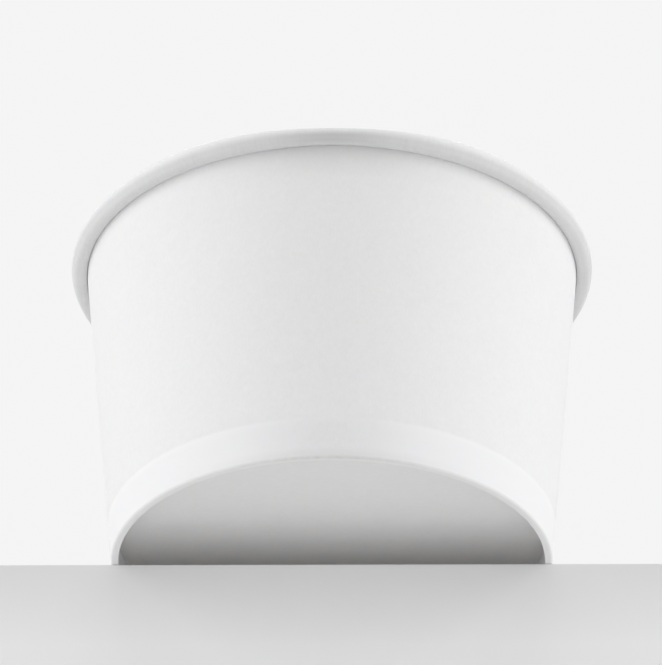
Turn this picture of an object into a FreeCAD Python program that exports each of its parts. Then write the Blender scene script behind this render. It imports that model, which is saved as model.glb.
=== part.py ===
import FreeCAD, Part

import math
import os

# Paper soup container, empty and without its lid: a two-piece paperboard tub.
#
# Sizes are in millimetres.  The tub stands on its foot ring at Z = 0 and is round about
# the Z axis.  side_wall is one blank of coated board, wrapped into a cone, lapped at the
# back (+Y), rolled outwards at the rim and folded inwards and up at the foot.  base_disc
# is a second blank, whose turned-down skirt is held inside that fold.

# Overall sizes
height = 58.3
rim_diameter = 90.0             # across the outside of the rolled rim
base_diameter = 73.2            # outer face of the wall, carried down to the standing plane

# Board
wall_board = 0.42               # thickness of the side wall's board
base_board = 0.45               # thickness of the base disc's board

# Rolled rim
roll_diameter = 3.12            # first turn of the roll, over its outer face
roll_gap = 0.40                 # between the wall and the second turn of the roll
second_turn_from = -57.0        # direction, in degrees from +R, in which the roll tightens
lip_direction = -260.0          # direction of the cut edge, hidden inside the roll

# Foot
base_recess = 6.5               # underside of the disc above the standing plane
foot_corner = 0.30              # outer radius of the two pressed corners of the fold
skirt_gap = 0.1                 # between the skirt's cut edge and the inside of the fold
disc_bend = 0.5                 # inner radius of the bend from the disc to its skirt
hem_gap = 0.4                   # hem's cut edge below that bend

# Lapped side seam
seam_direction = 90.0           # azimuth of the middle of the lap, at the back
lap_width = 8.0                 # how far the two ends of the blank overlap
climb_width = 5.0               # length over which the outer end climbs onto the inner one
climb_steps = 5                 # flat bands that make up the climb
seam_end_gap = 0.2              # lap's upper end below the underside of the roll
seam_tuck = 1.5                 # height over which the lap thins into the rim

# Worked out from the sizes above
base_radius = base_diameter / 2
roll_radius = roll_diameter / 2
roll_r = rim_diameter / 2 - roll_radius
roll_z = height - roll_radius
wall_reach = math.hypot(roll_r - base_radius, roll_z)
taper = math.atan2(roll_r - base_radius, roll_z) - math.asin((roll_radius - wall_board) / wall_reach)

inner_face = -wall_board                        # offsets from the wall's outer face
skirt_face = inner_face - base_board
hem_face = skirt_face - wall_board
hem_height = base_recess - disc_bend - hem_gap

tuck_top = height - roll_diameter - seam_end_gap
tuck_foot = tuck_top - seam_tuck


def at(radius, z):
    """A point of the half section, in the XZ plane."""
    return FreeCAD.Vector(radius, 0, z)


def on_wall(offset, z):
    """The point at height z on a line parallel to the wall, offset outwards from its outer face."""
    return at(base_radius + offset / math.cos(taper) + z * math.tan(taper), z)


def polar(centre, radius, direction):
    """The point at a distance and a direction, in degrees from +R, from a centre."""
    angle = math.radians(direction)
    return centre + at(radius * math.cos(angle), radius * math.sin(angle))


def line(start, end):
    return Part.LineSegment(start, end).toShape()


def arc(centre, radius, start, end):
    """An arc about a centre, from one direction to the other, in degrees."""
    points = [polar(centre, radius, angle) for angle in (start, (start + end) / 2, end)]
    return Part.Arc(*points).toShape()


def rounded(before, corner, after, radius):
    """Start, middle and end of the arc that rounds a corner of an outline."""
    back = (before - corner).normalize()
    ahead = (after - corner).normalize()
    half_turn = back.getAngle(ahead) / 2
    start = corner + back * (radius / math.tan(half_turn))
    end = corner + ahead * (radius / math.tan(half_turn))
    bisector = (back + ahead).normalize()
    middle = corner + bisector * (radius / math.sin(half_turn) - radius)
    return start, middle, end


def roll_arcs():
    """Centre, outer radius, start and end direction of the roll's first and second turns."""
    wall_side = 180 - math.degrees(taper)
    tighten = math.radians(second_turn_from)
    towards_wall = math.cos(tighten) * math.cos(taper) - math.sin(tighten) * math.sin(taper)
    shrink = (wall_board + roll_gap) / (1 + towards_wall)
    first_centre = at(roll_r, roll_z)
    second_centre = polar(first_centre, shrink, second_turn_from)
    return (
        (first_centre, roll_radius, wall_side, second_turn_from),
        (second_centre, roll_radius - shrink, second_turn_from, lip_direction),
    )


def wall_section(inner_shift, outer_shift):
    """Closed section of the side wall's board.

    The shifts move the wall's inner and outer faces outwards, as they do at the seam.
    They fade out under the rim, and the foot stays flat on the standing plane.
    """
    first, second = roll_arcs()
    foot_outer = on_wall(outer_shift, 0)
    foot_inner = on_wall(hem_face, 0)
    hem_edge_inner = on_wall(hem_face, hem_height)
    hem_edge_outer = on_wall(skirt_face, hem_height)
    outer_low = on_wall(outer_shift, tuck_foot)
    outer_high = on_wall(0, tuck_top)
    inner_low = on_wall(inner_face + inner_shift, tuck_foot)
    inner_high = on_wall(inner_face, tuck_top)
    heel = rounded(hem_edge_inner, foot_inner, foot_outer, foot_corner)
    toe = rounded(foot_inner, foot_outer, outer_low, foot_corner)
    fold_inner = on_wall(skirt_face, wall_board)
    fold_outer = on_wall(inner_face + inner_shift, wall_board)

    edges = [
        line(hem_edge_inner, heel[0]),
        Part.Arc(*heel).toShape(),
        line(heel[2], toe[0]),
        Part.Arc(*toe).toShape(),
        line(toe[2], outer_low),
        line(outer_low, outer_high),
        line(outer_high, polar(first[0], first[1] - wall_board, first[2])),
    ]
    edges += [arc(centre, radius - wall_board, start, end) for centre, radius, start, end in (first, second)]
    lip = [polar(second[0], radius, second[3]) for radius in (second[1] - wall_board, second[1])]
    edges.append(line(*lip))
    edges += [arc(centre, radius, end, start) for centre, radius, start, end in (second, first)]
    edges += [
        line(polar(first[0], first[1], first[2]), inner_high),
        line(inner_high, inner_low),
        line(inner_low, fold_outer),
        line(fold_outer, fold_inner),
        line(fold_inner, hem_edge_outer),
        line(hem_edge_outer, hem_edge_inner),
    ]
    return Part.Wire(edges)


def disc_section():
    """Closed half section of the base disc and its skirt, one side of it on the axis."""
    plate_under = base_recess
    plate_top = base_recess + base_board
    skirt_edge = wall_board + skirt_gap
    inner_bend = rounded(at(0, plate_under), on_wall(skirt_face, plate_under), on_wall(skirt_face, skirt_edge),
                         disc_bend)
    outer_bend = rounded(on_wall(inner_face, skirt_edge), on_wall(inner_face, plate_top), at(0, plate_top),
                         disc_bend + base_board)
    return Part.Wire([
        line(at(0, plate_under), inner_bend[0]),
        Part.Arc(*inner_bend).toShape(),
        line(inner_bend[2], on_wall(skirt_face, skirt_edge)),
        line(on_wall(skirt_face, skirt_edge), on_wall(inner_face, skirt_edge)),
        line(on_wall(inner_face, skirt_edge), outer_bend[0]),
        Part.Arc(*outer_bend).toShape(),
        line(outer_bend[2], at(0, plate_top)),
        line(at(0, plate_top), at(0, plate_under)),
    ])


def turned(shape, azimuth):
    """A copy of a shape, turned about the tub's axis."""
    copy = shape.copy()
    copy.rotate(FreeCAD.Vector(0, 0, 0), FreeCAD.Vector(0, 0, 1), azimuth)
    return copy


def swept(section, start, end):
    """The solid that a section makes between two azimuths."""
    face = turned(Part.Face(section), start)
    return face.revolve(FreeCAD.Vector(0, 0, 0), FreeCAD.Vector(0, 0, 1), end - start)


def climb(start, end):
    """The stretch in which the board climbs from its round path onto the lap."""
    sections = []
    for step in range(climb_steps + 1):
        share = step / climb_steps
        shift = wall_board * (1 - share)
        sections.append(turned(wall_section(shift, shift), start + share * (end - start)))
    return Part.makeLoft(sections, True, True)


def make_side_wall():
    mid_radius = (base_radius + rim_diameter / 2) / 2
    lap = math.degrees(lap_width / mid_radius)
    lap_start = seam_direction - lap / 2
    lap_end = seam_direction + lap / 2
    climb_end = lap_end + math.degrees(climb_width / mid_radius)
    single = swept(wall_section(0, 0), climb_end, lap_start + 360)
    double = swept(wall_section(0, wall_board), lap_start, lap_end)
    return single.fuse([double, climb(lap_end, climb_end)]).removeSplitter()


def make_base_disc():
    return swept(disc_section(), 0, 360)


nodes = {
    "side_wall": make_side_wall(),
    "base_disc": make_base_disc(),
}

os.makedirs("parts", exist_ok=True)
for name, shape in nodes.items():
    solid = shape.Solids[0]
    print(name, "solids", len(shape.Solids), "valid", solid.isValid(), "volume", round(solid.Volume, 1))
    solid.exportStep("parts/" + name + ".step")
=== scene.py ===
import math

import bpy
from mathutils import Matrix, Vector


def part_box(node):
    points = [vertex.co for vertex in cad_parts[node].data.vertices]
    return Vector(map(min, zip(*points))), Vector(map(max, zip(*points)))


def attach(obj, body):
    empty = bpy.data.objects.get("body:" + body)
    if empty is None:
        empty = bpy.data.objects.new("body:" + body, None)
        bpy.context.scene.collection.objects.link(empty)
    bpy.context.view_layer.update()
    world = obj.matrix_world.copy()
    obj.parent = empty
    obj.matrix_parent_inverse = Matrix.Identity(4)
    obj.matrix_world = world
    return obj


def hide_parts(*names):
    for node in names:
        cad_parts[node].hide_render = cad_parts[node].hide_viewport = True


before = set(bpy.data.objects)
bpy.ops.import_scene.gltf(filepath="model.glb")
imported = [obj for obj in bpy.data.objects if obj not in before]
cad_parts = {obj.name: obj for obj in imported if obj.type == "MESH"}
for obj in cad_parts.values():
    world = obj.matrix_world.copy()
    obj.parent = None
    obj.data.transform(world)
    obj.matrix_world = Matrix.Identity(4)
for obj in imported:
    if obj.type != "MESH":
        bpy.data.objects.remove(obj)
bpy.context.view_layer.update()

# Paper soup container: a tub of two paperboard blanks, seen from below the edge of the
# slab on which it stands. Lengths are in metres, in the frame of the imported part.

MM = 0.001

# The part's own sizes, where the frame gives them
RIM_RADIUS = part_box("side_wall")[1].x
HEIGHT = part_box("side_wall")[1].z
DISC_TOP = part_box("base_disc")[1].z

# The two boards and how they are formed
BASE_RADIUS = 36.6 * MM             # outer face of the wall, carried down to the standing plane
WALL_BOARD = 0.42 * MM
BASE_BOARD = 0.45 * MM
ROLL_DIAMETER = 3.12 * MM
TOE_RADIUS = 0.46 * MM              # outer corner of the fold, on which the tub stands
HEEL_RADIUS = 0.25 * MM             # and its inner corner
TOE_GREY_SHARES = (0.6, 1, 1, 1, 1, 0.9, 0.75, 0.6, 0.5, 0.45)     # how far the toe's points are greyed
SKIRT_GAP = 0.1 * MM
DISC_BEND = 0.5 * MM
HEM_GAP = 0.4 * MM
CRIMP_TOP = 7.1 * MM                # the foot is squeezed below this height
CRIMP_DEPTH = 0.02 * MM
CRIMP_FADE = 0.5 * MM
EASE_TOP = 1.9 * MM                 # and it rounds in towards the floor below this one
EASE_DEPTH = 0.03 * MM
FOOT_SHADE_WIDTH = math.radians(28)     # painted light: away from the front the foot is paler; within this of the front it is as grey as the wall
FOLD_GREY_WIDTH = math.radians(50)           # within this of the front the fold's outer corner is greyer
STOOD_SHARE = 0.35                      # how far the standing face is greyed all round

# The roll as it is pressed: wide over the top, flat on its lower side, tight at the lip,
# which lies against the wall.
# Directions are in degrees from outwards, and they fall as the board turns outwards and down.
UPWARDS = 90.0
INWARDS = 180.0
QUARTER_TURN = 90.0
ROLL_INSET = 0.10 * MM              # its outermost face inside the frame's
ROLL_TOP_RADIUS = 1.65 * MM
ROLL_OUTER_RADIUS = 1.42 * MM
ROLL_FLAT_FROM = -30.0
ROLL_FLAT = 0.62 * MM
UNDER_RADIUS = 1.10 * MM
UNDER_FLAT_FROM = -118.0
LIP_RADIUS = 0.45 * MM
LIP_GAP = 0.04 * MM                 # between the lip's turn and the wall
LIP_DIRECTION = -240.0              # the cut edge inside the roll

# Stretches of the roll's section over which its marks grow from 0 to 1
ROLLED_OVER = (20.0, -35.0)         # the creased finish on its outer face, greyer there: partly its own board, partly painted shade
PINCH_SHADE_OVER = (-5.0, -35.0)           # the painted shade along the pinch, and where it fades again
PINCH_SHADE_FADES_OVER = (-95.0, -50.0)
PINCHED_OVER = (5.0, -30.0)
PINCH_FADES_OVER = (-165.0, -120.0)
FULL_DIRECTION = 57.0               # where the unevenness of the roll is strongest
FULL_REACH = 90.0                   # and how far from there it ends
SWELL_REACH = 60.0                  # the seam's swelling is complete this far into the roll

# The roll out of true, its greyer board, and the painted shade and shadow that go with it
FRONT_AZIMUTH = math.radians(-90)
FRONT_DIP = 0.27 * MM               # the roll is pressed flatter at the front
FRONT_DIP_WIDTH = math.radians(24)
SHOULDER_SWELL = 0.24 * MM          # and is fuller on both sides of it
SHOULDER_AZIMUTH = math.radians(34)
SHOULDER_WIDTH = math.radians(25)
PINCH_DEPTH = 0.15 * MM             # its lower side is pinched in at the front
PINCH_WIDTH = math.radians(15)
FRONT_SHADE_WIDTH = math.radians(26)    # within this of the front its board is greyer: painted shade
SHADOW_UNDER_ROLL = 0.95              # painted shadow on the wall under it there
SHADOW_UNDER_ROLL_HEIGHT = 6 * MM
SHADOW_UNDER_ROLL_WIDTH = math.radians(36)
RIM_LEAN = 0.0045                   # the rim rises to the right by this slope
RIM_LEAN_FROM = 25 * MM

# The lapped seam at the back
SEAM_AZIMUTH = math.radians(90)
LAP_WIDTH = 8.0 * MM
CLIMB_WIDTH = 5.0 * MM
SEAM_END_GAP = 0.2 * MM
SEAM_TUCK = 1.5 * MM
ROLL_SHARE = 0.5                    # share of the board's thickness by which the roll steps at the seam
ROLL_SWELL = 0.25                   # share by which the roll swells where the blank is double
ROLL_HIDDEN_OVER = (-140.0, -100.0)     # the seam fades out of the roll between these directions
SWELL_START = 0.75                  # share of half the lap over which the swelling grows

ROLL_TOP = Vector((RIM_RADIUS - ROLL_INSET - ROLL_OUTER_RADIUS, 0, HEIGHT))
ROLL_CENTRE = ROLL_TOP - Vector((0, 0, ROLL_TOP_RADIUS))
WALL_REACH = math.hypot(ROLL_CENTRE.x - BASE_RADIUS, ROLL_CENTRE.z)
WALL_LEAD = math.asin((ROLL_TOP_RADIUS - WALL_BOARD) / WALL_REACH)
TAPER = math.atan2(ROLL_CENTRE.x - BASE_RADIUS, ROLL_CENTRE.z) - WALL_LEAD
MID_RADIUS = (BASE_RADIUS + RIM_RADIUS) / 2
OUTER_FACE = 0.0                    # offsets from the wall's outer face
INNER_FACE = -WALL_BOARD
SKIRT_FACE = INNER_FACE - BASE_BOARD
HEM_FACE = SKIRT_FACE - WALL_BOARD
DISC_UNDER = DISC_TOP - BASE_BOARD
HEM_TOP = DISC_UNDER - DISC_BEND - HEM_GAP
TUCK_TOP = HEIGHT - ROLL_DIAMETER - SEAM_END_GAP
TUCK_FOOT = TUCK_TOP - SEAM_TUCK

# How the pieces are meshed: points along the stretches of the outlines, rings round the tub
ROLL_FACET = 9.0                    # degrees of the roll between two of its points
LEAST_ARC_POINTS = 8
HEM_POINTS = 6
HEEL_POINTS = 6
TOE_POINTS = 10
EASE_POINTS = 6
FOOT_POINTS = 4
CRIMP_POINTS = 4
WALL_POINTS = 14
TUCK_POINTS = 4
SKIRT_POINTS = 5
DISC_POINTS = 16
INNER_BEND_POINTS = 6
OUTER_BEND_POINTS = 8
LAP_RINGS = 14
BESIDE_LAP_RINGS = 8
CLIMB_RINGS = 12
WALL_RINGS = 340                    # rings of points round the wall, away from its seam
DISC_RINGS = 360
CUT_WIDTH = 0.02 * MM               # azimuth taken up by a cut edge of the blank
CUT_MARGIN = 0.25                   # share of that width by which its points may be off
CUT_SHARE = 0.8                     # a face is a cut edge if all its corners are
MERGE_DISTANCE = 0.001 * MM
SHARP_ANGLE = math.radians(35)

# The board out of true
WAVE_LENGTH = 22 * MM
WAVE_FADE = WAVE_LENGTH / 3
WALL_WAVE = 0.03 * MM
WALL_WAVE_SEED = 3.0
DISC_WAVE = 0.05 * MM
DISC_WAVE_SEED = 8.0
DISC_WAVE_FADE = (0.6 * BASE_RADIUS, 0.85 * BASE_RADIUS)

# Finishes of the board, linear colours, some of them painted light and shade
BOARD_WHITE = (0.905, 0.905, 0.911, 1)
BOARD_SHADE = (0.808, 0.808, 0.812, 1)
# the roll's outer face: greyer board, with painted shade on its lower side and at the front
ROLL_WHITE = (0.760, 0.760, 0.763, 1)
ROLL_SHADE = (0.675, 0.675, 0.676, 1)
# painted light: the foot band, paler away from the front
FOOT_PAINTED_LIGHT = (0.915, 0.915, 0.92, 1)
# painted shade along the pinch, and painted shadow under the roll
PAINTED_SHADE_GREY = (0.62, 0.62, 0.618, 1)
# greyer at the fold's outer corner and low on the wall near the front, and on the standing face
FOLD_GREY = (0.69, 0.688, 0.68, 1)
BASE_WHITE = (0.800, 0.800, 0.806, 1)
BASE_SHADE = (0.740, 0.740, 0.746, 1)
CUT_WHITE = (0.80, 0.78, 0.72, 1)
CUT_SHADE = (0.66, 0.63, 0.56, 1)
OUTER_ROUGHNESS = 0.80
INNER_ROUGHNESS = 0.42
BARE_ROUGHNESS = 0.75
CUT_ROUGHNESS = 0.9
FILM_COAT = 0.30
ROLL_FILM = 0.3                     # share of the film's gloss that is left on the creased roll
FILM_ROUGHNESS = 0.42
BOARD_IOR = 1.45
BOARD_SHINE = 0.15                  # matt: well under the plain reflection of its index
BOARD_GLOW = 0.6                    # share of the light that passes through the pulp before it leaves
GLOW_DEPTH = 0.4 * MM
BASE_GLOW = 0.8
BASE_GLOW_DEPTH = 0.8 * MM
GLOW_COLOURS = (1.0, 0.96, 0.86)
FOLD_GREY_SHARE = 0.8

# Grain of the boards: size, detail and roughness of each noise, its share in the colour, its depth
WALL_GRAIN = {
    "clouds": ((2.6 * MM, 3.0, 0.6), 0.25, 0.012 * MM),
    "mottle": ((0.9 * MM, 2.0, 0.5), 0.35, 0.005 * MM),
    "fibres": ((0.26 * MM, 2.0, 0.7), 0.7, 0.0025 * MM),
}
BASE_GRAIN = {
    "clouds": ((3.2 * MM, 3.0, 0.6), 0.3, 0.014 * MM),
    "mottle": ((1.0 * MM, 2.0, 0.5), 0.4, 0.006 * MM),
    "fibres": ((0.3 * MM, 2.0, 0.7), 0.8, 0.004 * MM),
}
WALL_FIBRE_STRETCH = (1, 1, 0.3)
BASE_FIBRE_STRETCH = (0.3, 1, 1)
CREASES = (0.55 * MM, 2.0, 0.6)
CREASE_SHADE = 0.8
CREASE_DEPTH = 0.02 * MM
CREASE_SECTION_SHARE = 0.1          # how little they change over the roll's section
PULP = (0.09 * MM, 3.0, 0.7)
PULP_SHADE = 2
PULP_HEIGHT = 4
CLOUD_ROUGHNESS = 0.10
MOTTLE_ROUGHNESS = 0.06
WALL_FILM_FILLS = 0.45              # share of the relief that the film fills
BASE_FILM_FILLS = 0.5

# Stage and light
SLAB_FRONT = -1.1 * MM
SLAB_EDGE = 0.5 * MM
SLAB_EDGE_POINTS = 6
SLAB_BACK = 1.6
SLAB_SIDE = 1.6
SLAB_DEPTH = 1.2
SLAB_TURN = -0.007                  # the edge is not quite square to the view
SLAB_PALE = (0.925, 0.925, 0.925, 1)
SLAB_SHADOW_GREY = (0.795, 0.795, 0.795, 1)
SLAB_SHADOW_FADE = 15 * MM                 # painted shadow: below its edge the slab goes from a shadowed grey to its pale colour
SLAB_CLOUDS = (6 * MM, 3.0)
SLAB_CLOUD_SHADE = 0.1
SLAB_MOTTLE = 2 * MM
SLAB_ROUGHNESS = 0.7
SLAB_MOTTLE_ROUGHNESS = 0.1
SLAB_GRAIN = 0.5 * MM
SLAB_GRAIN_DEPTH = 0.01 * MM
BACKDROP = (0.91, 0.91, 0.91, 1)
AMBIENT = (0.53, 0.53, 0.53, 1)
TUB_MIDDLE = Vector((0, 0, 30 * MM))
LAMP_DISTANCE = 3.3
LAMPS = (                           # name, azimuth, elevation, side, watts
    ("left_panel", -86, 5, 1.5, 29.6),
    ("right_panel", 86, 5, 1.5, 29.6),
    ("left_high_panel", -72, 30, 1.5, 19.2),
    ("right_high_panel", 72, 30, 1.5, 19.2),
    ("front_panel", 0, -35, 1.0, 15.6),
    ("low_panel", 0, -58, 1.4, 7.5),
    ("top_panel", 0, 75, 1.5, 14.0),
    ("back_panel", 180, 55, 1.5, 6.5),
)
CAMERA_PLACE = Vector((-0.16, -616.7, -332.3)) * MM
CAMERA_PITCH = 31.494               # degrees upwards
CAMERA_ROLL = 0.07
CAMERA_LENS = 228.4
CAMERA_SEES_FROM = 0.05
CAMERA_SEES_TO = 20


# ---------------------------------------------------------------- node trees

class Value:
    """A socket of a node tree. Arithmetic on it adds Math nodes to the tree."""

    def __init__(self, graph, socket):
        self.graph = graph
        self.socket = socket

    def math(self, operation, *inputs):
        return self.graph.add("ShaderNodeMath", {"operation": operation}, dict(enumerate(inputs)))

    def __add__(self, other):
        return self.math("ADD", self, other)

    def __radd__(self, other):
        return self.math("ADD", other, self)

    def __sub__(self, other):
        return self.math("SUBTRACT", self, other)

    def __rsub__(self, other):
        return self.math("SUBTRACT", other, self)

    def __mul__(self, other):
        return self.math("MULTIPLY", self, other)

    def __rmul__(self, other):
        return self.math("MULTIPLY", other, self)

    def __gt__(self, other):
        return self.math("GREATER_THAN", self, other)

    def __lt__(self, other):
        return self.math("LESS_THAN", self, other)

    def cos(self):
        return self.math("COSINE", self)

    def sin(self):
        return self.math("SINE", self)

    def size(self):
        return self.math("ABSOLUTE", self)

    def at_most(self, other):
        return self.math("MINIMUM", self, other)

    def at_least(self, other):
        return self.math("MAXIMUM", self, other)

    def share(self, start, end, smooth=False):
        """0 at start, 1 at end and level beyond them."""
        settings = {"interpolation_type": "SMOOTHSTEP" if smooth else "LINEAR"}
        inputs = {"Value": self, "From Min": start, "From Max": end}
        return self.graph.add("ShaderNodeMapRange", settings, inputs)

    def output(self, name):
        """Another output of the same node."""
        return Value(self.graph, in_use(self.socket.node.outputs, name))


def in_use(sockets, key):
    """The socket with a name or a place among those that the node's settings leave in use."""
    usable = [s for s in sockets if s.enabled]
    return usable[key] if isinstance(key, int) else next(s for s in usable if s.name == key)


class Graph:
    """A node tree that is being built."""

    def __init__(self, tree):
        self.tree = tree

    def add(self, kind, settings=None, inputs=None):
        """A new node, its settings first and then its sockets' values or links. Gives its first output."""
        node = self.tree.nodes.new(kind)
        for name, value in (settings or {}).items():
            setattr(node, name, value)
        for key, value in (inputs or {}).items():
            socket = in_use(node.inputs, key)
            if isinstance(value, Value):
                self.tree.links.new(value.socket, socket)
            else:
                socket.default_value = value
        return Value(self, in_use(node.outputs, 0)) if node.outputs else node


def geometry_graph(name, sizes):
    """A Geometry Nodes tree with a mesh input and named inputs. Gives its graph and its input node."""
    tree = bpy.data.node_groups.new(name, "GeometryNodeTree")
    face = tree.interface
    face.new_socket("Geometry", in_out="INPUT", socket_type="NodeSocketGeometry")
    for size, kind in sizes.items():
        face.new_socket(size, in_out="INPUT", socket_type=kind)
    face.new_socket("Geometry", in_out="OUTPUT", socket_type="NodeSocketGeometry")
    graph = Graph(tree)
    return graph, graph.add("NodeGroupInput")


# ---------------------------------------------------------------- sections of the board

OUTWARDS = Vector((1 / math.cos(TAPER), 0, 0))      # moves a face of the wall by one unit


def on_wall(offset, z):
    """The point at height z on a line parallel to the wall, offset outwards from its outer face."""
    return Vector((BASE_RADIUS + offset / math.cos(TAPER) + z * math.tan(TAPER), 0, z))


def towards(direction):
    angle = math.radians(direction)
    return Vector((math.cos(angle), 0, math.sin(angle)))


def along(start, end, pieces):
    """Points from start towards end, without the end."""
    return [start.lerp(end, i / pieces) for i in range(pieces)]


def corner(before, point, after, radius, pieces):
    """Points of the arc that rounds a corner, with both of its ends."""
    back = (before - point).normalized()
    ahead = (after - point).normalized()
    half = back.angle(ahead) / 2
    centre = point + (back + ahead).normalized() * (radius / math.sin(half))
    first = point + back * (radius / math.tan(half)) - centre
    last = point + ahead * (radius / math.tan(half)) - centre
    turn = first.angle(last)
    points = []
    for share in (i / pieces for i in range(pieces + 1)):
        from_first = first * math.sin((1 - share) * turn)
        from_last = last * math.sin(share * turn)
        points.append(centre + (from_first + from_last) / math.sin(turn))
    return points


def ramp(value, start, end):
    """0 at start, 1 at end and level beyond them."""
    return min(1, max(0, (value - start) / (end - start)))


def eased(share):
    """The same share, level at its start and its end."""
    return share * share * (3 - 2 * share)


# What a point of an outline can be marked with. coated and cut say which finish the board has
# there. The roll's outer face is marked greyer, partly by its own board and partly by painted
# shade on its lower side, and the fold's outer corner and the wall above it are marked greyer.
# lap, step and swell say how far the point moves along its push at the seam: with the outer end
# of the blank, into the step beside the inner end, and with the thickness under the roll. full
# and pinch are its shares in the roll's unevenness, and another mark is its share in the painted
# shade along the pinch. below is how far a shadow is painted on the wall under the roll at the
# front, foot marks the squeezed foot, painted paler away from the front as painted light, and
# stood the face on which the tub stands.
FINISH_AND_PAINTED_LIGHT_MARKS = ("coated", "rolled", "worn", "dull", "foot")
SHAPE_AND_SHADOW_MARKS = ("cut", "lap", "step", "swell", "full", "pinch", "below", "stood")


def row(point, push=OUTWARDS, **marks):
    """A point of an outline, the direction in which it can be pushed, and its marks."""
    return {"point": point, "push": push, **marks}


def roll_turns():
    """Centre, outer radius, start and end direction of each arc of the rolled rim.

    A flat joins two arcs that meet in a direction without sharing a point.
    """
    outer = ROLL_TOP - Vector((0, 0, ROLL_OUTER_RADIUS))
    under = outer + towards(ROLL_FLAT_FROM) * (ROLL_OUTER_RADIUS - UNDER_RADIUS)
    under += towards(ROLL_FLAT_FROM - QUARTER_TURN) * ROLL_FLAT
    lip = under + towards(UNDER_FLAT_FROM) * (UNDER_RADIUS - LIP_RADIUS)
    along_flat = towards(UNDER_FLAT_FROM - QUARTER_TURN)
    clear = lip.x - LIP_RADIUS - LIP_GAP - on_wall(OUTER_FACE, lip.z).x
    lip += along_flat * (clear / (math.tan(TAPER) * along_flat.z - along_flat.x))
    return (
        (ROLL_CENTRE, ROLL_TOP_RADIUS, INWARDS - math.degrees(TAPER), UPWARDS),
        (outer, ROLL_OUTER_RADIUS, UPWARDS, ROLL_FLAT_FROM),
        (under, UNDER_RADIUS, ROLL_FLAT_FROM, UNDER_FLAT_FROM),
        (lip, LIP_RADIUS, UNDER_FLAT_FROM, LIP_DIRECTION),
    )


def roll_rows(depth, coated):
    """The arcs of the roll at a depth below their outer face, without the last point."""
    rows = []
    first = roll_turns()[0][2]
    for centre, radius, start, end in roll_turns():
        pieces = max(LEAST_ARC_POINTS, round(abs(end - start) / ROLL_FACET))
        flat_follows = end in (ROLL_FLAT_FROM, UNDER_FLAT_FROM)
        for i in range(pieces + flat_follows):
            direction = start + (end - start) * i / pieces
            out = towards(direction)
            shown = ramp(direction, *ROLL_HIDDEN_OVER) * coated
            rows.append(row(
                centre + out * (radius - depth), out, coated=coated,
                # greyer lower outer face: partly the board's own grey, partly painted shade
                rolled=coated * ramp(direction, *ROLLED_OVER),
                # painted shade along the pinch
                dull=coated * ramp(direction, *PINCH_SHADE_OVER) * ramp(direction, *PINCH_SHADE_FADES_OVER),
                # painted shadow on the roll's hidden face
                below=(1 - coated) * SHADOW_UNDER_ROLL,
                step=-ROLL_SHARE * shown,
                swell=shown * ramp(direction, first, first - SWELL_REACH),
                full=eased(ramp(abs(direction - FULL_DIRECTION), FULL_REACH, 0)),
                pinch=ramp(direction, *PINCHED_OVER) * ramp(direction, *PINCH_FADES_OVER)))
    return rows


def foot_shape(z):
    """How far the outer face is set in at a height near the foot."""
    crimp = CRIMP_DEPTH * ramp(z, CRIMP_TOP, CRIMP_TOP - CRIMP_FADE)
    return crimp + EASE_DEPTH * ramp(z, EASE_TOP, 0) ** 2


def outer_face(z):
    return on_wall(OUTER_FACE, z) - OUTWARDS * foot_shape(z)


def steps(start, end, pieces):
    return [start + (end - start) * i / pieces for i in range(pieces)]


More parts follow.
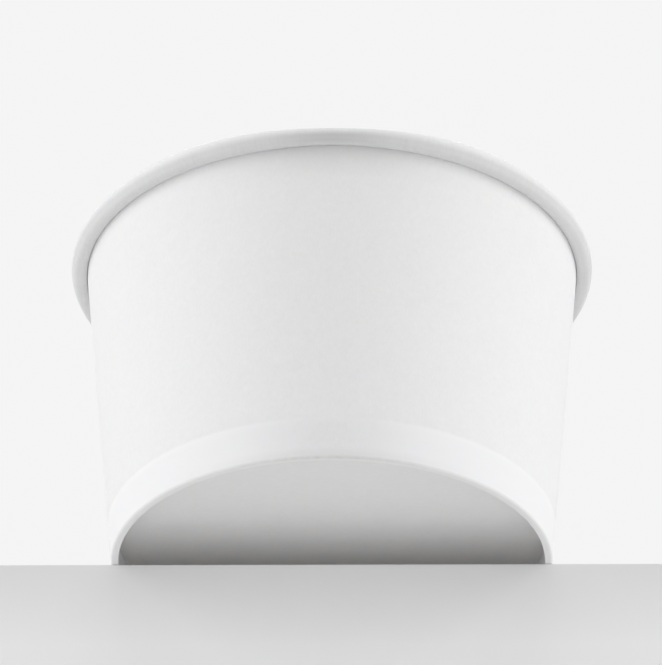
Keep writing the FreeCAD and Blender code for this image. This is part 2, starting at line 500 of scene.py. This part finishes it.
def wall_outline():
    """The side wall's section, once round the board from the hem's inner corner."""
    foot_outer = outer_face(0)
    foot_inner = on_wall(HEM_FACE, 0)
    heel = corner(on_wall(HEM_FACE, HEM_TOP), foot_inner, foot_outer, HEEL_RADIUS, HEEL_POINTS)
    toe = corner(foot_inner, foot_outer, outer_face(EASE_TOP / 2), TOE_RADIUS, TOE_POINTS)
    heights = steps(toe[-1].z, EASE_TOP, EASE_POINTS)
    heights += steps(EASE_TOP, CRIMP_TOP - CRIMP_FADE, FOOT_POINTS)
    heights += steps(CRIMP_TOP - CRIMP_FADE, CRIMP_TOP, CRIMP_POINTS)
    heights += steps(CRIMP_TOP, TUCK_FOOT, WALL_POINTS)
    heights += steps(TUCK_FOOT, TUCK_TOP, TUCK_POINTS) + [TUCK_TOP]
    lip_centre, lip_radius, _, lip_end = roll_turns()[-1]
    lip_inner = lip_centre + towards(lip_end) * (lip_radius - WALL_BOARD)
    lip_outer = lip_centre + towards(lip_end) * lip_radius

    rows = [row(p) for p in along(on_wall(HEM_FACE, HEM_TOP), heel[0], HEM_POINTS)]
    rows[0]["cut"] = 1
    rows += [row(p, stood=i / len(heel)) for i, p in enumerate(heel)]
    rows += [row(p, lap=1, worn=worn, stood=worn) for p, worn in zip(toe, TOE_GREY_SHARES)]
    for z in heights:
        # painted shadow on the wall under the roll
        below = SHADOW_UNDER_ROLL * ramp(z, ROLL_CENTRE.z - SHADOW_UNDER_ROLL_HEIGHT, ROLL_CENTRE.z) ** 2
        worn = TOE_GREY_SHARES[-1] * ramp(z, EASE_TOP, 0)
        foot = ramp(z, CRIMP_TOP, CRIMP_TOP - CRIMP_FADE)
        rows.append(row(outer_face(z), lap=ramp(z, TUCK_TOP, TUCK_FOOT), below=below, worn=worn, foot=foot))
    rows += roll_rows(WALL_BOARD, coated=0) + [row(lip_inner, cut=1)]
    coated = roll_rows(0, coated=1)
    rows += [row(lip_outer, coated=1, rolled=1, cut=1)] + coated[:0:-1]
    rows += [row(coated[0]["point"], coated=1, step=ROLL_SHARE)]
    for z in reversed(heights):
        share = ROLL_SHARE + (1 - ROLL_SHARE) * ramp(z, TUCK_TOP, TUCK_FOOT)
        if z > WALL_BOARD:
            rows.append(row(on_wall(INNER_FACE, z), coated=1, step=share))
    rows += [row(on_wall(INNER_FACE, WALL_BOARD), coated=1, step=1)]
    skirt_foot = on_wall(SKIRT_FACE, WALL_BOARD)
    skirt_top = on_wall(SKIRT_FACE, HEM_TOP)
    rows += [row(p, coated=1) for p in along(skirt_foot, skirt_top, SKIRT_POINTS)]
    return rows + [row(skirt_top, coated=1, cut=1)]


def disc_outline():
    """The base disc's section, from the axis along its underside and back over its top."""
    edge = WALL_BOARD + SKIRT_GAP
    skirt_outer = on_wall(INNER_FACE, edge)
    skirt_inner = on_wall(SKIRT_FACE, edge)
    under = Vector((0, 0, DISC_UNDER))
    top = Vector((0, 0, DISC_TOP))
    inner_corner = on_wall(SKIRT_FACE, DISC_UNDER)
    outer_corner = on_wall(INNER_FACE, DISC_TOP)
    inner_bend = corner(under, inner_corner, skirt_inner, DISC_BEND, INNER_BEND_POINTS)
    outer_bend = corner(skirt_outer, outer_corner, top, DISC_BEND + BASE_BOARD, OUTER_BEND_POINTS)
    rows = [row(p) for p in along(under, inner_bend[0], DISC_POINTS) + inner_bend]
    rows += [row(skirt_inner, cut=1), row(skirt_outer, coated=1, cut=1)]
    rows += [row(p, coated=1) for p in along(skirt_outer, outer_bend[0], SKIRT_POINTS)[1:] + outer_bend]
    return rows + [row(p, coated=1) for p in along(outer_bend[-1], top, DISC_POINTS)[1:] + [top]]


def outline_mesh(name, rows, closed):
    """An outline as a chain of edges, with the rows' numbers as attributes of its points."""
    mesh = bpy.data.meshes.new(name)
    links = [(i, i + 1) for i in range(len(rows) - 1)] + ([(len(rows) - 1, 0)] if closed else [])
    mesh.from_pydata([r["point"] for r in rows], links, [])
    push = mesh.attributes.new("push", "FLOAT_VECTOR", "POINT")
    push.data.foreach_set("vector", [number for r in rows for number in r["push"]])
    for key in FINISH_AND_PAINTED_LIGHT_MARKS + SHAPE_AND_SHADOW_MARKS:
        values = mesh.attributes.new(key, "FLOAT", "POINT")
        values.data.foreach_set("value", [r.get(key, 0) for r in rows])
    return mesh


# ---------------------------------------------------------------- trees that sweep the sections

BOARD_INPUTS = {"Wave": "NodeSocketFloat", "Seed": "NodeSocketFloat", "Board": "NodeSocketMaterial"}


def named(graph, name, kind="FLOAT"):
    return graph.add("GeometryNodeInputNamedAttribute", {"data_type": kind}, {"Name": name})


def stored(graph, geometry, name, value, kind="FLOAT", domain="POINT"):
    settings = {"data_type": kind, "domain": domain}
    inputs = {"Geometry": geometry, "Name": name, "Value": value}
    return graph.add("GeometryNodeStoreNamedAttribute", settings, inputs)


def position_from(graph, x, y, z):
    return graph.add("ShaderNodeCombineXYZ", {}, {"X": x, "Y": y, "Z": z})


def swept_mesh(graph, outline, rings, azimuth):
    """The outline carried round a circle. Its points keep where they are in the section."""
    place = graph.add("GeometryNodeInputPosition")
    section = stored(graph, outline, "section", place, "FLOAT_VECTOR")
    profile = graph.add("GeometryNodeMeshToCurve", {}, {"Mesh": section})
    size = {"Resolution": rings, "Radius": 1.0}
    circle = graph.add("GeometryNodeCurvePrimitiveCircle", {"mode": "RADIUS"}, size)
    path = stored(graph, circle, "azimuth", azimuth)
    return graph.add("GeometryNodeCurveToMesh", {}, {"Curve": path, "Profile Curve": profile})


def wave(graph, place, given):
    """The height of the board's waves at a place, above or below true."""
    settings = {"noise_dimensions": "4D"}
    inputs = {"Vector": place, "W": given.output("Seed"), "Scale": 1 / WAVE_LENGTH, "Detail": 1.0}
    return (graph.add("ShaderNodeTexNoise", settings, inputs) - 0.5) * 2 * given.output("Wave")


def wall_wave(graph, azimuth, height, given):
    """How far the board stands out of true, the same for everything at that place of the wall."""
    level = height.at_most(TUCK_FOOT)
    around = position_from(graph, azimuth.cos() * MID_RADIUS, azimuth.sin() * MID_RADIUS, level)
    fade = height.share(CRIMP_TOP, CRIMP_TOP + WAVE_FADE, smooth=True)
    return wave(graph, around, given) * fade


def near_azimuth(azimuth, middle, width):
    """1 at an azimuth, falling smoothly to 0 at a width on each side of it."""
    away = ((azimuth - middle) * 0.5).sin().size()
    return 1 - away.share(0, math.sin(width / 2), smooth=True)


def roll_unevenness(azimuth):
    """How much fuller the roll is than its section, flatter at the front and fuller beside it."""
    left = near_azimuth(azimuth, FRONT_AZIMUTH - SHOULDER_AZIMUTH, SHOULDER_WIDTH)
    right = near_azimuth(azimuth, FRONT_AZIMUTH + SHOULDER_AZIMUTH, SHOULDER_WIDTH)
    front = near_azimuth(azimuth, FRONT_AZIMUTH, FRONT_DIP_WIDTH)
    return (left + right) * SHOULDER_SWELL - front * FRONT_DIP


def finished(graph, geometry, given):
    """Cut edges marked, poles closed, faces turned out, and the board's material on all of it."""
    faces = stored(graph, geometry, "cut_edge", named(graph, "cut") > CUT_SHARE, domain="FACE")
    closed = graph.add("GeometryNodeMergeByDistance", {}, {"Geometry": faces, "Distance": MERGE_DISTANCE})
    outwards = graph.add("GeometryNodeFlipFaces", {}, {"Mesh": closed})
    real = graph.add("GeometryNodeRealizeInstances", {}, {"Geometry": outwards})
    made = graph.add("GeometryNodeSetMaterial", {}, {"Geometry": real, "Material": given.output("Board")})
    graph.add("NodeGroupOutput", {}, {"Geometry": made})


def ring_azimuths(graph, stretches):
    """Azimuth of each ring: every stretch of the round takes its own number of rings."""
    index = graph.add("GeometryNodeInputIndex")
    azimuth = stretches[0][0]
    first = 0
    for start, end, rings in stretches:
        azimuth = azimuth + (end - start) * index.share(first, first + rings)
        first += rings
    return azimuth, first


def wall_tree():
    """The side wall from its outline: the cone, its lapped seam and the board's slight waves."""
    graph, given = geometry_graph("lapped_wall", BOARD_INPUTS)
    half_lap = LAP_WIDTH / MID_RADIUS / 2
    lap_start = SEAM_AZIMUTH - half_lap
    lap_end = SEAM_AZIMUTH + half_lap
    climb_end = lap_end + CLIMB_WIDTH / MID_RADIUS
    cut = CUT_WIDTH / MID_RADIUS
    beside_lap = lap_start - CLIMB_WIDTH / MID_RADIUS
    azimuth, rings = ring_azimuths(graph, (
        (beside_lap, lap_start, BESIDE_LAP_RINGS),
        (lap_start, lap_start + cut, 1),
        (lap_start + cut, lap_end - cut, LAP_RINGS),
        (lap_end - cut, lap_end, 1),
        (lap_end, climb_end, CLIMB_RINGS),
        (climb_end, beside_lap + math.tau, WALL_RINGS)))
    tube = swept_mesh(graph, given.output("Geometry"), rings, azimuth)

    azimuth = named(graph, "azimuth")
    climbing = 1 - azimuth.share(lap_end, climb_end)
    outer_end = azimuth.share(lap_start, lap_start + cut) * climbing
    inner_step = azimuth.share(lap_end - cut, lap_end) * climbing
    swelling = azimuth.share(lap_start, lap_start + SWELL_START * half_lap, smooth=True)
    doubled = swelling * azimuth.share(lap_end, lap_end - cut)
    shift = (named(graph, "lap") * outer_end + named(graph, "step") * inner_step) * WALL_BOARD
    shift = shift + named(graph, "swell") * doubled * (ROLL_SWELL * WALL_BOARD)
    shift = shift + named(graph, "full") * roll_unevenness(azimuth)
    shift = shift - named(graph, "pinch") * near_azimuth(azimuth, FRONT_AZIMUTH, PINCH_WIDTH) * PINCH_DEPTH
    pushed = graph.add("ShaderNodeVectorMath", {"operation": "MULTIPLY_ADD"}, {
        0: named(graph, "push", "FLOAT_VECTOR"), 1: shift, 2: named(graph, "section", "FLOAT_VECTOR")})
    section = graph.add("ShaderNodeSeparateXYZ", {}, {"Vector": pushed})
    level = section.output("Z")
    radius = section.output("X") + wall_wave(graph, azimuth, level, given)
    x = radius * azimuth.cos()
    height = level + x * RIM_LEAN * level.share(RIM_LEAN_FROM, HEIGHT, smooth=True)
    placed = graph.add("GeometryNodeSetPosition", {}, {
        "Geometry": tube, "Position": position_from(graph, x, radius * azimuth.sin(), height)})

    sliver = cut * CUT_MARGIN
    outer_cut = (azimuth > lap_start - sliver) * (azimuth < lap_start + cut + sliver) * named(graph, "lap")
    inner_cut = (azimuth > lap_end - cut - sliver) * (azimuth < lap_end + sliver)
    inner_cut = inner_cut * named(graph, "step").size()
    with_cuts = stored(graph, placed, "cut", named(graph, "cut").at_least(outer_cut).at_least(inner_cut))
    # The roll's board is greyer near the front: painted shade.
    pressed = near_azimuth(azimuth, FRONT_AZIMUTH, FRONT_SHADE_WIDTH) * named(graph, "full")
    with_roll = stored(graph, with_cuts, "rolled", (named(graph, "rolled") + pressed).at_most(1.0))
    # Painted shadow under the roll and painted shade along the pinch, near the front.
    under_roll = near_azimuth(azimuth, FRONT_AZIMUTH, SHADOW_UNDER_ROLL_WIDTH)
    dull = named(graph, "dull") * near_azimuth(azimuth, FRONT_AZIMUTH, PINCH_WIDTH)
    with_dull = stored(graph, with_roll, "dull", dull + named(graph, "below") * under_roll)
    # Painted light: the foot band is paler away from the front.
    at_front = near_azimuth(azimuth, FRONT_AZIMUTH, FOOT_SHADE_WIDTH)
    with_foot = stored(graph, with_dull, "foot", named(graph, "foot") * (1 - at_front))
    # The fold's outer corner is greyer near the front, the standing face all round.
    worn = named(graph, "worn") * near_azimuth(azimuth, FRONT_AZIMUTH, FOLD_GREY_WIDTH)
    with_wear = stored(graph, with_foot, "worn", worn.at_least(named(graph, "stood") * STOOD_SHARE))
    finished(graph, with_wear, given)
    return graph.tree


def disc_tree():
    """The base disc from its outline, very slightly uneven across its middle."""
    graph, given = geometry_graph("pressed_disc", BOARD_INPUTS)
    azimuth, rings = ring_azimuths(graph, ((0, math.tau, DISC_RINGS),))
    tube = swept_mesh(graph, given.output("Geometry"), rings, azimuth)
    azimuth = named(graph, "azimuth")
    section = graph.add("ShaderNodeSeparateXYZ", {}, {"Vector": named(graph, "section", "FLOAT_VECTOR")})
    radius = section.output("X")
    x = radius * azimuth.cos()
    y = radius * azimuth.sin()
    flat = 1 - radius.share(*DISC_WAVE_FADE, smooth=True)
    height = section.output("Z") + wave(graph, position_from(graph, x, y, 0.0), given) * flat
    placed = graph.add("GeometryNodeSetPosition", {}, {
        "Geometry": tube, "Position": position_from(graph, x, y, height)})
    finished(graph, placed, given)
    return graph.tree


def shaped(name, outline, closed, tree, values):
    """A piece of the tub: its outline put through its tree, as a plain mesh in its place."""
    piece = bpy.data.objects.new(name, outline_mesh(name + "_outline", outline, closed))
    bpy.context.scene.collection.objects.link(piece)
    modifier = piece.modifiers.new(tree.name, "NODES")
    modifier.node_group = tree
    for item in tree.interface.items_tree:
        if item.in_out == "INPUT" and item.name in values:
            modifier[item.identifier] = values[item.name]
    made = bpy.data.meshes.new_from_object(piece.evaluated_get(bpy.context.evaluated_depsgraph_get()))
    piece.modifiers.remove(modifier)
    piece.data = made
    made.name = name
    for key in ("section", "push", "azimuth") + SHAPE_AND_SHADOW_MARKS:
        if key in made.attributes:
            made.attributes.remove(made.attributes[key])
    made.shade_smooth()
    made.set_sharp_from_angle(angle=SHARP_ANGLE)
    return piece


# ---------------------------------------------------------------- board materials

def new_material(name):
    """An empty node material and its graph."""
    material = bpy.data.materials.new(name)
    material.use_nodes = True
    material.node_tree.nodes.clear()
    return material, Graph(material.node_tree)


def object_place(graph, stretch=(1, 1, 1)):
    """Object coordinates, shortened along an axis where a pattern is longer than it is wide."""
    place = graph.add("ShaderNodeTexCoord").output("Object")
    return graph.add("ShaderNodeMapping", {"vector_type": "POINT"}, {"Vector": place, "Scale": stretch})


def noise(graph, place, size, detail=2.0, roughness=0.5):
    """Cloudy noise about 0 whose features are of a size in metres."""
    inputs = {"Vector": place, "Scale": 1 / size, "Detail": detail, "Roughness": roughness}
    return graph.add("ShaderNodeTexNoise", {}, inputs) - 0.5


def scaled(graph, vector, factor):
    return graph.add("ShaderNodeVectorMath", {"operation": "SCALE"}, {0: vector, "Scale": factor})


def wrinkles(graph):
    """Noise that runs across the roll: it changes along the rim and hardly over its section."""
    place = object_place(graph)
    axes = graph.add("ShaderNodeSeparateXYZ", {}, {"Vector": place})
    flat = position_from(graph, axes.output("X"), axes.output("Y"), 0.0)
    along_rim = graph.add("ShaderNodeVectorMath", {"operation": "NORMALIZE"}, {0: flat})
    lifted = graph.add("ShaderNodeVectorMath", {"operation": "MULTIPLY_ADD"}, {
        0: place, 1: (CREASE_SECTION_SHARE,) * 3, 2: scaled(graph, along_rim, RIM_RADIUS)})
    return noise(graph, lifted, *CREASES)


def mixed(graph, share, first, second):
    """A colour between two others."""
    inputs = {"Factor": share, "A": first, "B": second}
    return graph.add("ShaderNodeMix", {"data_type": "RGBA", "clamp_factor": True}, inputs)


def painted(graph, colour, roughness, heights, glow=0.0, glow_depth=GLOW_DEPTH, coat=0.0):
    """The surface itself, its bumps from the widest to the finest as (height, metres) pairs."""
    normal = None
    for height, distance in heights:
        inputs = {"Height": height, "Strength": 1.0, "Distance": distance}
        if normal:
            inputs["Normal"] = normal
        normal = graph.add("ShaderNodeBump", {}, inputs)
    shader = graph.add("ShaderNodeBsdfPrincipled", {}, {
        "Base Color": colour, "Roughness": roughness, "Normal": normal, "IOR": BOARD_IOR,
        "Specular IOR Level": BOARD_SHINE,
        "Coat Weight": coat, "Coat Roughness": FILM_ROUGHNESS,
        "Subsurface Weight": glow, "Subsurface Radius": GLOW_COLOURS, "Subsurface Scale": glow_depth})
    graph.add("ShaderNodeOutputMaterial", {}, {"Surface": shader})


def marked(graph, name):
    """A mark of the mesh, as a share."""
    return graph.add("ShaderNodeAttribute", {"attribute_name": name}).output("Fac")


def board_grain(graph, grain, fibre_stretch):
    """The noises of a board by name, and the share of its paler colour that they make together."""
    place = object_place(graph)
    places = {"clouds": place, "mottle": place, "fibres": object_place(graph, fibre_stretch)}
    noises = {name: noise(graph, places[name], *sizes) for name, (sizes, _, _) in grain.items()}
    pale = 0.5
    for name, (_, share, _) in grain.items():
        pale = pale + noises[name] * share
    return noises, pale


def finish_board(graph, face, noises, grain, filmed, fills, roughness, glow, glow_depth, creases=None):
    """The rest of a board's material, round the colour of its face: raw edges, film and relief."""
    cut = marked(graph, "cut_edge")
    pulp = noise(graph, object_place(graph), *PULP)
    colour = mixed(graph, cut, face, mixed(graph, 0.5 + pulp * PULP_SHADE, CUT_SHADE, CUT_WHITE))
    smooth = roughness + (INNER_ROUGHNESS - roughness) * filmed
    smooth = smooth + noises["clouds"] * CLOUD_ROUGHNESS + noises["mottle"] * MOTTLE_ROUGHNESS
    raised = 1 - marked(graph, "coated") * fills
    heights = {name: height * raised for name, height in noises.items()}
    heights["fibres"] = heights["fibres"] + pulp * cut * PULP_HEIGHT
    relief = [(creases, CREASE_DEPTH)] if creases else []
    relief += [(heights[name], depth) for name, (_, _, depth) in grain.items()]
    painted(graph, colour, smooth + (CUT_ROUGHNESS - smooth) * cut, relief, glow, glow_depth,
            filmed * (1 - cut) * FILM_COAT)


def wall_board_material():
    """White board: clay-coated outside, sealed with a film inside, raw where it is cut."""
    material, graph = new_material("white_wall_board")
    on_roll = marked(graph, "rolled")
    noises, pale = board_grain(graph, WALL_GRAIN, WALL_FIBRE_STRETCH)
    creases = wrinkles(graph) * on_roll
    pale = pale + creases * CREASE_SHADE
    # Painted light: the foot band paler than the wall away from the front.
    face = mixed(graph, marked(graph, "foot"), mixed(graph, pale, BOARD_SHADE, BOARD_WHITE), FOOT_PAINTED_LIGHT)
    # The roll greyer: partly its own board, partly painted shade on its lower side and at the front.
    face = mixed(graph, on_roll, face, mixed(graph, pale, ROLL_SHADE, ROLL_WHITE))
    # Painted shade along the pinch, and painted shadow under the roll.
    face = mixed(graph, marked(graph, "dull"), face, PAINTED_SHADE_GREY)
    # Greyer at the fold's outer corner and low on the wall near the front, and on the standing face.
    greyed_share = marked(graph, "worn") * (FOLD_GREY_SHARE + noises["mottle"])
    face = mixed(graph, greyed_share, face, FOLD_GREY)
    filmed = marked(graph, "coated") * (1 - on_roll * (1 - ROLL_FILM))
    finish_board(graph, face, noises, WALL_GRAIN, filmed, WALL_FILM_FILLS, OUTER_ROUGHNESS,
                 BOARD_GLOW, GLOW_DEPTH, creases)
    return material


def base_board_material():
    """The base disc's board: bare and matt underneath, sealed with a film on top."""
    material, graph = new_material("white_base_board")
    noises, pale = board_grain(graph, BASE_GRAIN, BASE_FIBRE_STRETCH)
    face = mixed(graph, pale, BASE_SHADE, BASE_WHITE)
    finish_board(graph, face, noises, BASE_GRAIN, marked(graph, "coated"), BASE_FILM_FILLS,
                 BARE_ROUGHNESS, BASE_GLOW, BASE_GLOW_DEPTH)
    return material


# ---------------------------------------------------------------- the tub

def make_tub():
    wall = shaped("soup_tub_side_wall", wall_outline(), True, wall_tree(), {
        "Wave": WALL_WAVE, "Seed": WALL_WAVE_SEED, "Board": wall_board_material()})
    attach(wall, "root")
    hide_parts("side_wall")
    disc = shaped("soup_tub_base_disc", disc_outline(), False, disc_tree(), {
        "Wave": DISC_WAVE, "Seed": DISC_WAVE_SEED, "Board": base_board_material()})
    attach(disc, "root")
    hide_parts("base_disc")


# ---------------------------------------------------------------- stage, light and camera

def make_slab():
    """The pale slab under the tub, its front face just in front of the tub's middle."""
    front_foot = Vector((SLAB_FRONT, 0, -SLAB_DEPTH))
    back_foot = Vector((SLAB_BACK, 0, -SLAB_DEPTH))
    back_top = Vector((SLAB_BACK, 0, 0))
    rounding = corner(front_foot, Vector((SLAB_FRONT, 0, 0)), back_top, SLAB_EDGE, SLAB_EDGE_POINTS)
    outline = [back_foot, front_foot] + rounding + [back_top]
    points = [Vector((x, p.x + x * SLAB_TURN, p.z)) for x in (-SLAB_SIDE, SLAB_SIDE) for p in outline]
    count = len(outline)
    faces = [tuple(range(count)), tuple(range(2 * count - 1, count - 1, -1))]
    for i in range(count):
        after = (i + 1) % count
        faces.append((after, i, count + i, count + after))
    mesh = bpy.data.meshes.new("stage_slab")
    mesh.from_pydata(points, [], faces)
    mesh.shade_smooth()
    mesh.set_sharp_from_angle(angle=SHARP_ANGLE)
    material, graph = new_material("pale_slab")
    place = object_place(graph)
    depth = graph.add("ShaderNodeSeparateXYZ", {}, {"Vector": place}).output("Z")
    # Painted shadow: darker just below the slab's edge, paler further down.
    pale = depth.share(0, -SLAB_SHADOW_FADE) + noise(graph, place, *SLAB_CLOUDS) * SLAB_CLOUD_SHADE
    roughness = SLAB_ROUGHNESS + noise(graph, place, SLAB_MOTTLE) * SLAB_MOTTLE_ROUGHNESS
    painted(graph, mixed(graph, pale, SLAB_SHADOW_GREY, SLAB_PALE), roughness,
            [(noise(graph, place, SLAB_GRAIN), SLAB_GRAIN_DEPTH)])
    mesh.materials.append(material)
    slab = bpy.data.objects.new("stage_slab", mesh)
    bpy.context.scene.collection.objects.link(slab)


def make_world():
    """Even grey light from all round, with a pale backdrop for the camera and for reflections."""
    world = bpy.data.worlds.new("studio")
    world.use_nodes = True
    world.node_tree.nodes.clear()
    graph = Graph(world.node_tree)
    path = graph.add("ShaderNodeLightPath")
    seen = path.output("Is Camera Ray").at_least(path.output("Is Glossy Ray"))
    seen = seen.at_least(path.output("Is Transmission Ray"))
    colour = mixed(graph, seen, AMBIENT, BACKDROP)
    shader = graph.add("ShaderNodeBackground", {}, {"Color": colour, "Strength": 1.0})
    graph.add("ShaderNodeOutputWorld", {}, {"Surface": shader})
    bpy.context.scene.world = world


def make_lamp(name, azimuth, elevation, width, power):
    """A soft panel that faces the tub. Azimuth 0 is the front, 90 the right."""
    light = bpy.data.lights.new(name, "AREA")
    light.shape = "SQUARE"
    light.size = width
    light.energy = power
    lamp = bpy.data.objects.new(name, light)
    bpy.context.scene.collection.objects.link(lamp)
    across = math.radians(azimuth)
    up = math.radians(elevation)
    out = Vector((math.sin(across) * math.cos(up), -math.cos(across) * math.cos(up), math.sin(up)))
    lamp.location = TUB_MIDDLE + out * LAMP_DISTANCE
    lamp.rotation_euler = (-out).to_track_quat("-Z", "Y").to_euler()
    lamp.visible_camera = False


def make_camera():
    """Below the edge of the slab, looking up at the front of the tub and into its base."""
    camera = bpy.data.objects.new("camera", bpy.data.cameras.new("camera"))
    bpy.context.scene.collection.objects.link(camera)
    camera.data.lens = CAMERA_LENS
    camera.location = CAMERA_PLACE
    upright = Matrix.Rotation(math.radians(QUARTER_TURN + CAMERA_PITCH), 3, "X")
    roll = Matrix.Rotation(math.radians(CAMERA_ROLL), 3, "Z")
    camera.rotation_euler = (upright @ roll).to_euler()
    camera.data.clip_start = CAMERA_SEES_FROM
    camera.data.clip_end = CAMERA_SEES_TO
    bpy.context.scene.camera = camera


make_tub()
make_slab()
make_world()
for lamp in LAMPS:
    make_lamp(*lamp)
make_camera()
bpy.context.scene.view_settings.view_transform = "Standard"
